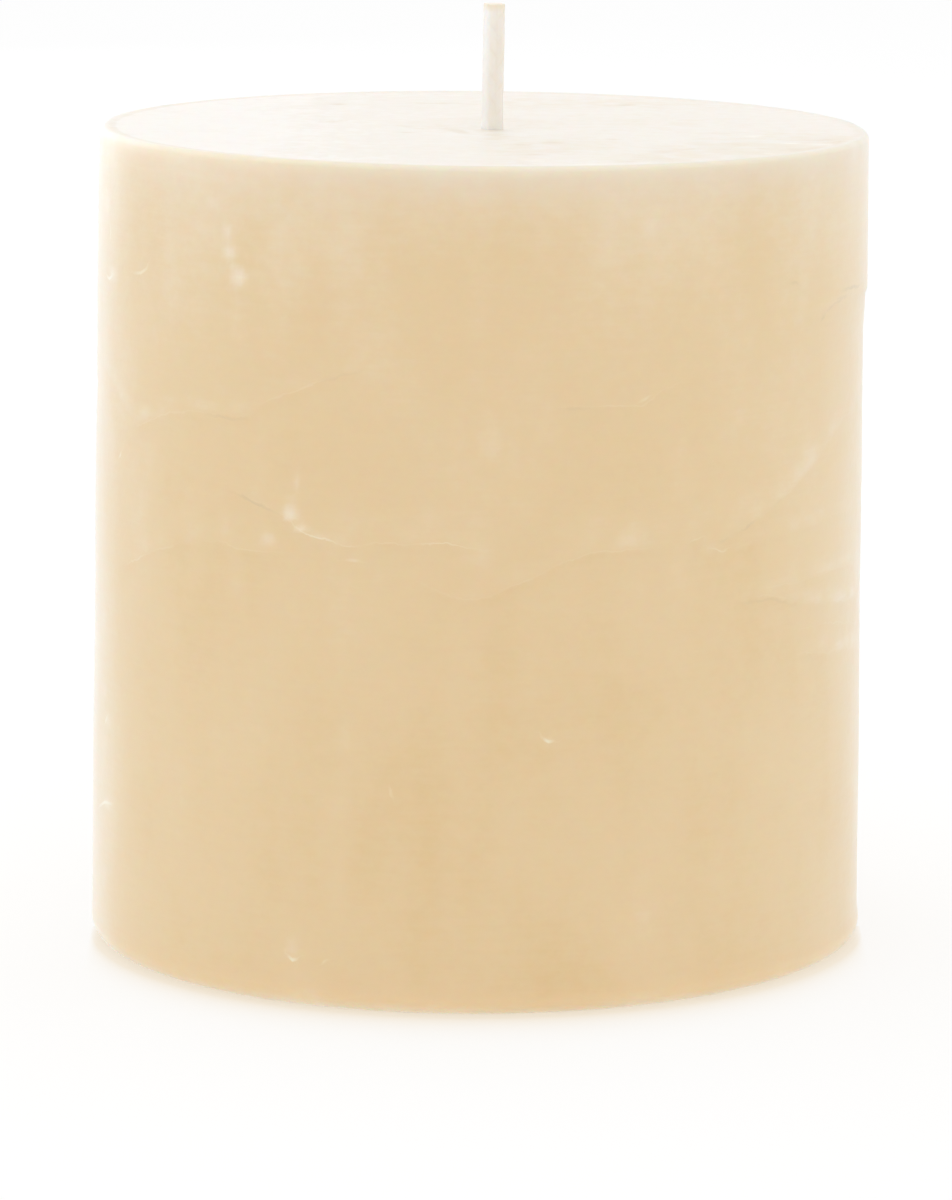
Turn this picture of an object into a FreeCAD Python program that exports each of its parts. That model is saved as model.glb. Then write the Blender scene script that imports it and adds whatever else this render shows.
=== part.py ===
import FreeCAD, Part
import math
import os

import Sketcher

# A rustic pillar candle: one cast block of wax with a braided cotton wick through it.
# Both pieces are drawn upright along the candle's own axis, with Z up that axis, and
# are then leaned together, because the block's foot was melted a little out of square.
# The finished candle stands on Z = 0, with the middle of its foot at the origin.

DRIVING_SIZES = (
    ("base_diameter", 75.0, "wax just above its rounded foot"),
    ("top_diameter", 73.5, "wax at the rim, smaller so that the block leaves its mould"),
    ("body_height", 78.3, "wax along its axis, from the foot to the level of the rim"),
    ("lean_angle", 0.57, "degrees that the foot is out of square, towards +X"),
    ("foot_radius", 2.0, "round edge that the hot plate leaves at the foot"),
    ("rim_radius", 0.5, "soft upper rim"),
    ("sink_diameter", 18.0, "shallow dish round the wick"),
    ("sink_depth", 0.22, "how far the wax sinks there as it cools"),
    ("wick_width", 1.9, "square braid, across its flats"),
    ("wick_corner_radius", 0.5, "rounded corner of the braid"),
    ("wick_turn_angle", 17.0, "degrees that the braid is turned about its own length"),
    ("wick_offset", 0.75, "wick to the right of the block's axis"),
    ("wick_forward", 0.8, "wick in front of the block's axis"),
    ("wick_exposed", 11.8, "wick above the level of the rim"),
    ("wick_bend_angle", 0.55, "degrees that the free end leans past the block's axis"),
    ("wick_bend_radius", 300.0, "gentle bend of the wick above the wax"),
    ("wick_recess", 0.6, "cut end of the wick, up inside its channel at the foot"),
)


def make_sizes(document):
    """The sheet of driving dimensions, one named cell each."""
    sheet = document.addObject("Spreadsheet::Sheet", "sizes")
    for row, (name, value, meaning) in enumerate(DRIVING_SIZES, start=1):
        sheet.set(f"A{row}", name)
        sheet.set(f"B{row}", str(value))
        sheet.set(f"C{row}", meaning)
        sheet.setAlias(f"B{row}", name)
    document.recompute()
    return sheet


def new_body(document, label):
    """A body that leans with the candle's axis, about the middle of the foot."""
    body = document.addObject("PartDesign::Body", label)
    body.Label = label
    body.Placement = FreeCAD.Placement(FreeCAD.Vector(0, 0, 0), FreeCAD.Rotation(FreeCAD.Vector(0, 1, 0), 1.0))
    body.setExpression("Placement.Rotation.Angle", "sizes.lean_angle")
    return body


def new_sketch(body, name, plane_role):
    """A sketch on one of the body's own origin planes."""
    plane = next(item for item in body.Origin.OriginFeatures if item.Role == plane_role)
    sketch = body.newObject("Sketcher::SketchObject", name)
    sketch.AttachmentSupport = [(plane, "")]
    sketch.MapMode = "FlatFace"
    return sketch


def constrain(sketch, kind, *arguments, name=None, formula=None):
    """One sketch constraint, which may be named and driven by a formula of the sheet."""
    index = sketch.addConstraint(Sketcher.Constraint(kind, *arguments))
    if name is not None:
        sketch.renameConstraint(index, name)
        sketch.setExpression(f"Constraints.{name}", formula)
    return index


# The places on a sketch element, and the sketch's own axes and origin, as sketches number them

START, END, CENTRE = range(1, 4)
X_AXIS, Y_AXIS = range(-1, -3, -1)
ORIGIN = (X_AXIS, START)


def draw_foot(sketch):
    """Half of the foot's section: flat underside with a quarter round up to full width."""
    wide = sizes.base_diameter / 2
    soft = sizes.foot_radius
    round_circle = Part.Circle(FreeCAD.Vector(wide - soft, soft, 0), FreeCAD.Vector(0, 0, 1), soft)
    under = sketch.addGeometry(Part.LineSegment(FreeCAD.Vector(0, 0, 0), FreeCAD.Vector(wide - soft, 0, 0)))
    edge = sketch.addGeometry(Part.ArcOfCircle(round_circle, -math.pi / 2, 0))
    across = sketch.addGeometry(Part.LineSegment(FreeCAD.Vector(wide, soft, 0), FreeCAD.Vector(0, soft, 0)))
    core = sketch.addGeometry(Part.LineSegment(FreeCAD.Vector(0, soft, 0), FreeCAD.Vector(0, 0, 0)))
    constrain(sketch, "Coincident", under, START, *ORIGIN)
    constrain(sketch, "Tangent", under, END, edge, START)
    constrain(sketch, "Coincident", edge, END, across, START)
    constrain(sketch, "Coincident", across, END, core, START)
    constrain(sketch, "Coincident", core, END, under, START)
    constrain(sketch, "Horizontal", under)
    constrain(sketch, "Horizontal", across)
    constrain(sketch, "Horizontal", edge, END, edge, CENTRE)
    constrain(sketch, "Vertical", core)
    constrain(sketch, "Radius", edge, soft, name="foot_round", formula="sizes.foot_radius")
    constrain(sketch, "DistanceX", *ORIGIN, edge, END, wide,
              name="foot_reach", formula="sizes.base_diameter / 2")


def draw_top(sketch):
    """Half of the top's section: soft rim, flat ring and the shallow dish round the wick."""
    wide = sizes.top_diameter / 2
    tall = sizes.body_height
    soft = sizes.rim_radius
    dish = sizes.sink_diameter / 2
    depth = sizes.sink_depth
    dish_radius = (dish ** 2 + depth ** 2) / (2 * depth)
    dish_bearing = math.asin(dish / dish_radius)
    up = FreeCAD.Vector(0, 0, 1)
    rim_circle = Part.Circle(FreeCAD.Vector(wide - soft, tall - soft, 0), up, soft)
    dish_circle = Part.Circle(FreeCAD.Vector(0, tall - depth + dish_radius, 0), up, dish_radius)
    across = sketch.addGeometry(
        Part.LineSegment(FreeCAD.Vector(0, tall - soft, 0), FreeCAD.Vector(wide, tall - soft, 0)))
    rim = sketch.addGeometry(Part.ArcOfCircle(rim_circle, 0, math.pi / 2))
    flat = sketch.addGeometry(Part.LineSegment(FreeCAD.Vector(wide - soft, tall, 0), FreeCAD.Vector(dish, tall, 0)))
    sunk = sketch.addGeometry(Part.ArcOfCircle(dish_circle, -math.pi / 2, -math.pi / 2 + dish_bearing))
    core = sketch.addGeometry(
        Part.LineSegment(FreeCAD.Vector(0, tall - depth, 0), FreeCAD.Vector(0, tall - soft, 0)))
    constrain(sketch, "Coincident", across, END, rim, START)
    constrain(sketch, "Tangent", rim, END, flat, START)
    constrain(sketch, "Coincident", flat, END, sunk, END)
    constrain(sketch, "Coincident", sunk, START, core, START)
    constrain(sketch, "Coincident", core, END, across, START)
    constrain(sketch, "Horizontal", across)
    constrain(sketch, "Horizontal", flat)
    constrain(sketch, "Horizontal", rim, START, rim, CENTRE)
    constrain(sketch, "PointOnObject", core, START, Y_AXIS)
    constrain(sketch, "PointOnObject", core, END, Y_AXIS)
    constrain(sketch, "PointOnObject", sunk, CENTRE, Y_AXIS)
    constrain(sketch, "Radius", rim, soft, name="rim_round", formula="sizes.rim_radius")
    constrain(sketch, "DistanceX", *ORIGIN, rim, START, wide,
              name="rim_reach", formula="sizes.top_diameter / 2")
    constrain(sketch, "DistanceY", *ORIGIN, flat, START, tall,
              name="rim_level", formula="sizes.body_height")
    constrain(sketch, "DistanceX", *ORIGIN, flat, END, dish,
              name="dish_reach", formula="sizes.sink_diameter / 2")
    constrain(sketch, "DistanceY", core, START, flat, END, depth,
              name="dish_depth", formula="sizes.sink_depth")


def draw_circle(sketch, radius, name, formula):
    """One circle about the sketch's origin."""
    circle = sketch.addGeometry(Part.Circle(FreeCAD.Vector(0, 0, 0), FreeCAD.Vector(0, 0, 1), radius))
    constrain(sketch, "Coincident", circle, CENTRE, *ORIGIN)
    constrain(sketch, "Radius", circle, radius, name=name, formula=formula)


def draw_wick_section(sketch, level_formula):
    """The braid's rounded square, turned about its length and placed off the block's axis."""
    half = sizes.wick_width / 2
    corner = sizes.wick_corner_radius
    flat = half - corner
    corners = []
    flats = []
    for quarter in range(4):
        turn = FreeCAD.Rotation(FreeCAD.Vector(0, 0, 1), 90.0 * quarter)
        middle = turn.multVec(FreeCAD.Vector(flat, flat, 0))
        circle = Part.Circle(middle, FreeCAD.Vector(0, 0, 1), corner)
        start = math.radians(90.0 * quarter)
        corners.append(sketch.addGeometry(Part.ArcOfCircle(circle, start, start + math.pi / 2)))
        near = turn.multVec(FreeCAD.Vector(flat, half, 0))
        far = turn.multVec(FreeCAD.Vector(-flat, half, 0))
        flats.append(sketch.addGeometry(Part.LineSegment(near, far)))
    for number in range(4):
        constrain(sketch, "Tangent", corners[number], END, flats[number], START)
        constrain(sketch, "Tangent", flats[number], END, corners[(number + 1) % 4], START)
    for number in range(1, 4):
        constrain(sketch, "Equal", corners[0], corners[number])
    back, left, front, right = flats
    constrain(sketch, "Horizontal", back)
    constrain(sketch, "Vertical", left)
    constrain(sketch, "Radius", corners[0], corner,
              name="braid_corner", formula="sizes.wick_corner_radius")
    constrain(sketch, "DistanceY", *ORIGIN, back, START, half,
              name="back_flat", formula="sizes.wick_width / 2")
    constrain(sketch, "DistanceY", front, START, *ORIGIN, half,
              name="front_flat", formula="sizes.wick_width / 2")
    constrain(sketch, "DistanceX", left, START, *ORIGIN, half,
              name="left_flat", formula="sizes.wick_width / 2")
    constrain(sketch, "DistanceX", *ORIGIN, right, START, half,
              name="right_flat", formula="sizes.wick_width / 2")
    sketch.setExpression("AttachmentOffset.Base.x", "sizes.wick_offset")
    sketch.setExpression("AttachmentOffset.Base.y", "-sizes.wick_forward")
    sketch.setExpression("AttachmentOffset.Base.z", level_formula)
    sketch.setExpression("AttachmentOffset.Rotation.Angle", "sizes.wick_turn_angle")


def draw_wick_path(sketch):
    """Straight up through the wax, a gentle bend where the wick comes free, straight to the tip."""
    start_level = sizes.wick_recess
    rim_level = sizes.body_height
    radius = sizes.wick_bend_radius
    angle = math.radians(sizes.wick_bend_angle)
    bend_rise = radius * math.sin(angle)
    bend_run = radius * (1 - math.cos(angle))
    free_length = sizes.wick_exposed - bend_rise
    circle = Part.Circle(FreeCAD.Vector(radius, rim_level, 0), FreeCAD.Vector(0, 0, 1), radius)
    bend_end = FreeCAD.Vector(bend_run, rim_level + bend_rise, 0)
    tip = bend_end + FreeCAD.Vector(free_length * math.tan(angle), free_length, 0)
    held = sketch.addGeometry(Part.LineSegment(FreeCAD.Vector(0, start_level, 0), FreeCAD.Vector(0, rim_level, 0)))
    bend = sketch.addGeometry(Part.ArcOfCircle(circle, math.pi - angle, math.pi))
    free = sketch.addGeometry(Part.LineSegment(bend_end, tip))
    constrain(sketch, "Vertical", held)
    constrain(sketch, "PointOnObject", held, START, Y_AXIS)
    constrain(sketch, "Tangent", held, END, bend, END)
    constrain(sketch, "Tangent", bend, START, free, START)
    constrain(sketch, "DistanceY", *ORIGIN, held, START, start_level,
              name="cut_end", formula="sizes.wick_recess")
    constrain(sketch, "DistanceY", *ORIGIN, held, END, rim_level,
              name="rim_level", formula="sizes.body_height")
    constrain(sketch, "Radius", bend, radius,
              name="bend_radius", formula="sizes.wick_bend_radius")
    constrain(sketch, "Angle", Y_AXIS, 1, free, START, -angle,
              name="free_lean", formula="-sizes.wick_bend_angle")
    constrain(sketch, "DistanceY", held, END, free, END, sizes.wick_exposed,
              name="exposed", formula="sizes.wick_exposed")
    sketch.setExpression("AttachmentOffset.Base.x", "sizes.wick_offset")
    sketch.setExpression("AttachmentOffset.Base.z", "sizes.wick_forward")


def lay_square_to_table(sketch, turn_axis, formula):
    """Turns a sketch back by the lean, so that it lies square to the surface under the candle."""
    sketch.AttachmentOffset = FreeCAD.Placement(FreeCAD.Vector(0, 0, 0), FreeCAD.Rotation(turn_axis, 1.0))
    sketch.setExpression("AttachmentOffset.Rotation.Angle", formula)


def make_wax_body(document):
    """The cast block: a level foot, a leaning drafted wall, a square top and the wick's channel."""
    body = new_body(document, "wax_body")

    foot_section = new_sketch(body, "foot_section", "XZ_Plane")
    lay_square_to_table(foot_section, FreeCAD.Vector(0, 0, 1), "sizes.lean_angle")
    draw_foot(foot_section)
    foot = body.newObject("PartDesign::Revolution", "foot")
    foot.Profile = foot_section
    foot.ReferenceAxis = (foot_section, ["V_Axis"])
    foot.Angle = 360.0

    wall_foot = new_sketch(body, "wall_foot", "XY_Plane")
    lay_square_to_table(wall_foot, FreeCAD.Vector(0, 1, 0), "-sizes.lean_angle")
    wall_foot.setExpression("AttachmentOffset.Base.x", "-sizes.foot_radius * sin(sizes.lean_angle)")
    wall_foot.setExpression("AttachmentOffset.Base.z", "sizes.foot_radius * cos(sizes.lean_angle)")
    draw_circle(wall_foot, sizes.base_diameter / 2, "foot_circle", "sizes.base_diameter / 2")
    wall_top = new_sketch(body, "wall_top", "XY_Plane")
    wall_top.setExpression("AttachmentOffset.Base.z", "sizes.body_height - sizes.rim_radius")
    draw_circle(wall_top, sizes.top_diameter / 2, "rim_circle", "sizes.top_diameter / 2")
    wall = body.newObject("PartDesign::AdditiveLoft", "drafted_wall")
    wall.Profile = wall_foot
    wall.Sections = [wall_top]
    wall.Ruled = True

    top_section = new_sketch(body, "top_section", "XZ_Plane")
    draw_top(top_section)
    top = body.newObject("PartDesign::Revolution", "top")
    top.Profile = top_section
    top.ReferenceAxis = (top_section, ["V_Axis"])
    top.Angle = 360.0
    document.recompute()
    if not foot.Shape.Volume < wall.Shape.Volume < top.Shape.Volume:
        raise RuntimeError("the block doesn't grow from foot to wall to top")

    channel_section = new_sketch(body, "channel_section", "XY_Plane")
    draw_wick_section(channel_section, "-sizes.base_diameter / 4")
    channel = body.newObject("PartDesign::Pocket", "wick_channel")
    channel.Profile = channel_section
    channel.Type = "ThroughAll"
    channel.Reversed = True
    body.Tip = channel
    document.recompute()
    if not channel.Shape.Volume < top.Shape.Volume:
        raise RuntimeError("the wick's channel takes no wax away")
    return body


def make_wick(document):
    """The square braid, swept in one piece from the foot to the cut tip."""
    body = new_body(document, "wick")

    path = new_sketch(body, "wick_path", "XZ_Plane")
    draw_wick_path(path)
    section = new_sketch(body, "wick_section", "XY_Plane")
    draw_wick_section(section, "sizes.wick_recess")
    document.recompute()

    braid = body.newObject("PartDesign::AdditivePipe", "braid")
    braid.Profile = section
    braid.Spine = (path, ["Edge1", "Edge2", "Edge3"])
    document.recompute()
    return body


document = FreeCAD.newDocument("pillar_candle")
sizes = make_sizes(document)
pieces = (make_wax_body(document), make_wick(document))
document.recompute()

for item in document.Objects:
    if "Invalid" in item.State or "Error" in item.State:
        raise RuntimeError(f"{item.Name} could not be worked out: {item.State}")
for piece in pieces:
    if piece.Shape.isNull() or not piece.Shape.isValid():
        raise RuntimeError(f"{piece.Label} has no sound shape")

os.makedirs("parts", exist_ok=True)
for piece in pieces:
    piece.Shape.exportStep(f"parts/{piece.Label}.step")
    box = piece.Shape.BoundBox
    print(f"{piece.Label}: {len(piece.Shape.Solids)} solid, {piece.Shape.Volume:.1f} mm3,",
          f"{box.XLength:.2f} x {box.YLength:.2f} x {box.ZLength:.2f} mm, z {box.ZMin:.3f} to {box.ZMax:.3f}")
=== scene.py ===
# %% [markdown]
# A rustic pillar candle, dressed for the camera
#
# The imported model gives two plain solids: a cast block of wax and a braided cotton wick.
# They are loaded first and never moved. Everything below is made in their place and at
# their size, so that a finer mesh can stand in for each without any fitting.

# %% Load the frame and the tools
import math

import bpy
import numpy as np
from mathutils import Matrix, Vector, noise


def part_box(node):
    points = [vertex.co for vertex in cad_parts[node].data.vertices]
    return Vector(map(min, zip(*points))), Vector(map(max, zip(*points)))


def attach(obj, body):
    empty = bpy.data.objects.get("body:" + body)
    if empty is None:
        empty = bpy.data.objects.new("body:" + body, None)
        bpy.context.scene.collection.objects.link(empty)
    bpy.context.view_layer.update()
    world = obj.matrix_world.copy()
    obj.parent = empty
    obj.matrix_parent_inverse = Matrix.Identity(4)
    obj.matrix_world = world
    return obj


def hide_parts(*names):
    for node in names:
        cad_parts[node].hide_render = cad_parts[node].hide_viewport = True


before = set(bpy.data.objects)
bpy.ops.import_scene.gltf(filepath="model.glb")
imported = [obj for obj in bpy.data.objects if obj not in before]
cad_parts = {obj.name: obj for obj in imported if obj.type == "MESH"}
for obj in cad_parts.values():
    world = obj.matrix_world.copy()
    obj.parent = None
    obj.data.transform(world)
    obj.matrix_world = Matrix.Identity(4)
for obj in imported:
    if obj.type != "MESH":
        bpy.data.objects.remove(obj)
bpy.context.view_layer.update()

# %% [markdown]
# Sizes in millimetres
#
# A candle maker thinks in millimetres, and Blender in metres. All sizes are written in
# millimetres and turned once, when a mesh is made. These are the sizes of the two solids.
# The block leans half a degree, because its foot was melted a little out of square.

# %% Sizes of the candle
MM = 0.001

FOOT_RADIUS = 37.5
FOOT_ROUND = 2.0
RIM_RADIUS = 36.75
RIM_ROUND = 0.5
RIM_LEVEL = 78.3
DISH_RADIUS = 9.0
DISH_DEPTH = 0.22
LEAN = math.radians(0.57)

WICK_HALF = 0.95
WICK_CORNER = 0.5
WICK_TURN = math.radians(17.0)
WICK_RIGHT = 0.75
WICK_FRONT = 0.8
WICK_EXPOSED = 11.8
WICK_BEND_RADIUS = 300.0
WICK_BEND = math.radians(0.55)
WICK_RECESS = 0.6

lean_matrix = np.array(Matrix.Rotation(LEAN, 3, "Y"))


def leaned(points):
    """Points drawn along the block's own axis, leaned with it into the frame."""
    return points @ lean_matrix.T


for node in ("wax_body", "wick"):
    low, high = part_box(node)
    print(node, "solid from", [round(v / MM, 2) for v in low], "to", [round(v / MM, 2) for v in high])

# %% [markdown]
# The camera
#
# The photograph was taken with a long lens, about 60 cm away and ten degrees above level:
# the top shows as a thin ellipse and the foot as a fuller one. Lens and place were found
# by matching both ellipses and the straight sides. The photograph's own frame is used for
# every pixel that is named below.

# %% Camera
PHOTO_WIDTH, PHOTO_HEIGHT = 952, 1200
FOCAL_PIXELS = 6134.0
SENSOR_MM = 36.0
CAMERA_PLACE = Vector((-0.00001, -0.5847, 0.13618))
CAMERA_DOWN = math.radians(10.07)

camera_data = bpy.data.cameras.new("camera")
camera_data.sensor_width = SENSOR_MM
camera_data.lens = SENSOR_MM * FOCAL_PIXELS / PHOTO_HEIGHT
camera = bpy.data.objects.new("camera", camera_data)
camera.location = CAMERA_PLACE
camera.rotation_euler = (math.pi / 2 - CAMERA_DOWN, 0, 0)
bpy.context.scene.collection.objects.link(camera)
bpy.context.scene.camera = camera
bpy.context.view_layer.update()
print("lens", round(camera_data.lens, 1), "mm")


def sight(px, py):
    """The line of sight through a pixel of the photograph: start and direction, in millimetres."""
    ray = Vector((px - PHOTO_WIDTH / 2, PHOTO_HEIGHT / 2 - py, -FOCAL_PIXELS))
    return camera.matrix_world.translation / MM, camera.matrix_world.to_3x3() @ ray


# %% [markdown]
# Colours and nodes
#
# Colours are written as sRGB hex, but shaders work in linear light, so one function turns
# them. Another adds a node of any kind with its settings and links, which keeps each
# material readable as a list of what it is made of.

# %% Colour and node helpers


def linear(code):
    """An sRGB hex colour as the linear values that a shader works in."""
    shares = [int(code[place:place + 2], 16) / 255 for place in (1, 3, 5)]
    light = [s / 12.92 if s <= 0.04045 else ((s + 0.055) / 1.055) ** 2.4 for s in shares]
    return (*light, 1.0)


def add_node(tree, kind, inputs=None, **settings):
    """One node, with its properties. An input is a value, a hex colour, a node or a socket."""
    made = tree.nodes.new(kind)
    for name, value in settings.items():
        setattr(made, name, value)
    for name, value in (inputs or {}).items():
        if isinstance(value, bpy.types.Node):
            value = value.outputs[0]
        if isinstance(value, bpy.types.NodeSocket):
            tree.links.new(value, made.inputs[name])
        else:
            made.inputs[name].default_value = linear(value) if isinstance(value, str) else value
    return made


def new_material(name):
    """An empty node material with its output: returns the material, its tree and the output."""
    material = bpy.data.materials.new(name)
    material.use_nodes = True
    material.node_tree.nodes.clear()
    return material, material.node_tree, add_node(material.node_tree, "ShaderNodeOutputMaterial")


def per_metre(size_mm):
    """The scale that makes a noise texture's features about this size."""
    return 1.0 / (size_mm * MM)


# %% [markdown]
# Where the wall is
#
# The wall is ruled straight from the foot's circle to the rim's, which leans and is a
# little smaller. A bearing runs round it from the front, positive to the right, and a
# level runs up it. One function puts them in space. Another goes from a pixel of the
# photograph to the place on the wall that shows there, so that a mark seen in the
# photograph can be drawn on the wax.

# %% The wall and the top as surfaces
WALL_LOW = FOOT_ROUND
WALL_HIGH = RIM_LEVEL - RIM_ROUND


def circle(radius, level, bearings):
    """Points round the block's axis, before it leans."""
    levels = np.full_like(bearings, level)
    return np.stack([radius * np.sin(bearings), -radius * np.cos(bearings), levels], 1)


def wall_points(share, bearings):
    """A ring of the wall, at a share of the way from the foot's circle to the rim's."""
    foot = circle(FOOT_RADIUS, WALL_LOW, bearings)
    rim = leaned(circle(RIM_RADIUS, WALL_HIGH, bearings))
    return foot + (rim - foot) * share


def on_wall(px, py):
    """Bearing and level of the wall seen at a pixel of the photograph."""
    start, along = sight(px, py)
    level = RIM_LEVEL / 2
    for _ in range(6):
        share = (level - WALL_LOW) / (WALL_HIGH - WALL_LOW)
        radius = FOOT_RADIUS + (RIM_RADIUS - FOOT_RADIUS) * share
        offset = Vector((start.x - level * math.tan(LEAN), start.y))
        flat = Vector((along.x, along.y))
        half_b = offset.dot(flat)
        inside = max(half_b ** 2 - flat.dot(flat) * (offset.dot(offset) - radius ** 2), 0.0)
        meeting = (-half_b - math.sqrt(inside)) / flat.dot(flat)
        level = start.z + along.z * meeting
    place = offset + flat * meeting
    return math.atan2(place.x, -place.y), level


def on_top(px, py):
    """Place on the top face seen at a pixel of the photograph, along the block's own axes."""
    start, along = sight(px, py)
    to_block = Matrix.Rotation(-LEAN, 3, "Y")
    start = to_block @ start
    along = to_block @ along
    meeting = (RIM_LEVEL - start.z) / along.z
    place = start + along * meeting
    return place.x, place.y


print("front of the foot round at", [round(v, 2) for v in on_wall(476, 1005)])

# %% [markdown]
# Pour lines, laps and scratches
#
# The wax was poured cold and in more than one go. Each pour skinned over before the next
# ran against it, which leaves lap lines: a pale band above a thin raised edge. They are
# traced from the photograph as short lists of places, and carried on round the back. A line
# has two weights: how strong the painted highlight on its edge is, and how pale the band
# above it is, which also sets the painted shade below it. Neighbouring lines go in different
# families, because the mesh will hold one distance for each family. Where a lap has folded
# shut there is a short crease, darkened with painted shade.

# %% Traced lines on the wall: painted edge highlight weight, band weight, pixels of the photograph
FRONT_LINES = {
    "upper_lap": (
        (0.12, 0.5, ((104, 366), (118, 392), (137, 427), (160, 414), (200, 411), (246, 417), (266, 402),
                     (290, 393), (318, 381), (359, 371))),
        (0.1, 0.4, ((231, 489), (252, 499), (279, 511))),
        (1.0, 0.6, ((279, 511), (290, 521), (303, 532), (322, 539), (338, 543))),
        (0.4, 0.5, ((338, 543), (346, 545), (360, 546))),
        (0.3, 0.6, ((356, 546), (380, 544), (418, 545), (446, 544), (482, 552))),
        (0.2, 0.2, ((560, 407), (600, 406), (640, 407), (664, 389), (690, 382))),
        (0.0, 0.1, ((820, 284), (846, 290), (866, 289))),
    ),
    "lower_lap": (
        (0.2, 0.5, ((118, 572), (134, 560), (155, 550), (178, 545), (208, 540), (225, 541), (236, 549),
                    (256, 553), (288, 553))),
        (0.12, 0.6, ((415, 583), (440, 592), (465, 600), (492, 596), (520, 582), (552, 568), (590, 553),
                     (640, 549), (680, 545))),
        (0.5, 0.55, ((680, 545), (691, 543), (703, 538))),
        (0.06, 0.6, ((706, 541), (722, 541), (745, 529), (768, 512), (790, 494), (812, 470), (832, 440),
                     (848, 418), (862, 400))),
    ),
    "side_ring": (
        (0.4, 0.1, ((710, 548), (716, 551), (724, 552), (732, 549))),
        (0.05, 0.4, ((734, 549), (760, 541), (800, 530), (840, 514), (864, 500))),
        (0.06, 0.9, ((735, 601), (771, 596), (812, 604), (862, 597))),
        (0.1, 0.8, ((796, 655), (830, 652), (862, 645))),
    ),
    "side_ring_between": (
        (0.06, 0.6, ((760, 587), (796, 583), (840, 569), (866, 556))),
        (0.1, 0.3, ((790, 630), (830, 624), (864, 622))),
    ),
}

# %% Creases in pixels, and the lines of the back in degrees from the front and millimetres up
# Each crease is drawn darker, as painted shade.
CREASES = (
    (0.55, ((842, 292), (849, 288), (858, 287), (863, 283))),
    (0.3, ((824, 316), (836, 305), (846, 297), (856, 293))),
    (0.3, ((790, 284), (796, 283), (800, 285))),
    (0.4, ((828, 312), (826, 318), (823, 322))),
    (0.35, ((742, 532), (750, 526), (759, 519))),
    (0.25, ((719, 543), (724, 541), (729, 538))),
    (0.15, ((768, 512), (780, 503), (792, 492))),
    (0.25, ((205, 414), (228, 418), (248, 420))),
    (0.2, ((316, 383), (345, 375), (362, 371))),
    (0.4, ((232, 492), (247, 499), (262, 506), (278, 513))),
    (0.2, ((740, 603), (775, 600), (800, 606))),
    (0.2, ((560, 409), (590, 409))),
)

BACK_LINES = {
    "upper_lap": (
        (0.2, 0.5, ((-83, 55.5), (-96, 52), (-112, 56.5), (-128, 61), (-146, 58.5), (-163, 54),
                    (-180, 55.5))),
        (0.3, 0.5, ((180, 55.5), (166, 58.5), (150, 57), (133, 62.5), (118, 64), (103, 61.5),
                    (92, 63.5))),
        (0.5, 0.5, ((150, 37), (160, 34.5), (168, 33), (180, 31))),
        (0.25, 0.6, ((-180, 31), (-166, 28.5), (-150, 30.5), (-136, 27.5))),
    ),
    "lower_lap": (
        (0.25, 0.8, ((88, 53), (100, 55), (112, 51.5), (126, 46.5), (142, 44), (160, 46.5), (180, 43))),
        (0.15, 0.6, ((-180, 43), (-164, 40), (-148, 43.5), (-130, 40.5), (-112, 36), (-96, 38),
                     (-84, 36.5))),
    ),
    "side_ring": (
        (0.2, 0.5, ((84, 44), (97, 45.5), (110, 43), (122, 43.5))),
        (0.2, 0.5, ((84, 34.6), (99, 35.5), (116, 33.5))),
        (0.2, 0.4, ((-118, 47.5), (-134, 50.5), (-150, 49))),
    ),
    "side_ring_between": (
        (0.2, 0.5, ((86, 38.4), (101, 40), (113, 38.2))),
        (0.1, 0.4, ((-100, 44), (-116, 42))),
    ),
}

WALL_MIDDLE_RADIUS = (FOOT_RADIUS + RIM_RADIUS) / 2


def unrolled(bearing, level):
    """The wall laid out flat: millimetres round from the front, and millimetres up."""
    return bearing * WALL_MIDDLE_RADIUS, level


def on_unrolled(px, py):
    """Place on the wall laid out flat, seen at a pixel of the photograph."""
    return unrolled(*on_wall(px, py))


def traced(lines, place):
    """Lines with each pixel turned to a place. A line with one weight has no pale band."""
    return [(light, sum(band), [place(*pixel) for pixel in line]) for light, *band, line in lines]


wall_lines = {}
for family, lines in FRONT_LINES.items():
    seen_lines = traced(lines, on_unrolled)
    unseen_lines = traced(BACK_LINES[family], lambda turn, level: unrolled(math.radians(turn), level))
    wall_lines[family] = seen_lines + unseen_lines
    print(family, "has", len(wall_lines[family]), "lines")
creases = traced(CREASES, on_unrolled)

# %% [markdown]
# Scratches, chips and pale patches
#
# A block that has been handled carries short scratches and small chips. Pale patches are
# where the wax cooled quickest: soft, upright smears with no edge. A scratch is traced as
# a line. A patch or chip is a middle, two half sizes and a strength: the stronger, the
# whiter. On the top the scratches are drawn darker, and the one at the wick's foot is a
# painted shadow. Short painted highlights lie on the top, most along the right of the rim.
# The cream patches are a deeper tan, and the deepest are painted shade at the wick's foot
# and along the right of the rim. Towards the left the top is painted paler, as painted light.

# %% Scratches, patches and chips, as pixels of the photograph
SCRATCHES = (
    (0.9, ((98, 807), (104, 802), (112, 804))),
    (0.5, ((133, 273), (140, 273), (146, 269), (148, 263))),
    (0.9, ((106, 275), (109, 279), (113, 274))),
    (0.5, ((109, 220), (110, 232), (110, 242))),
    (0.4, ((105, 186), (107, 194))),
    (0.7, ((543, 738), (548, 742), (553, 741))),
    (0.8, ((288, 956), (293, 961), (297, 959))),
    (0.4, ((322, 963), (328, 960))),
    (0.6, ((107, 716), (104, 724))),
    (0.6, ((121, 452), (119, 458))),
    (0.3, ((390, 788), (391, 797))),
    (0.3, ((640, 402), (650, 397))),
    (0.35, ((345, 560), (360, 561))),
)

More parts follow.
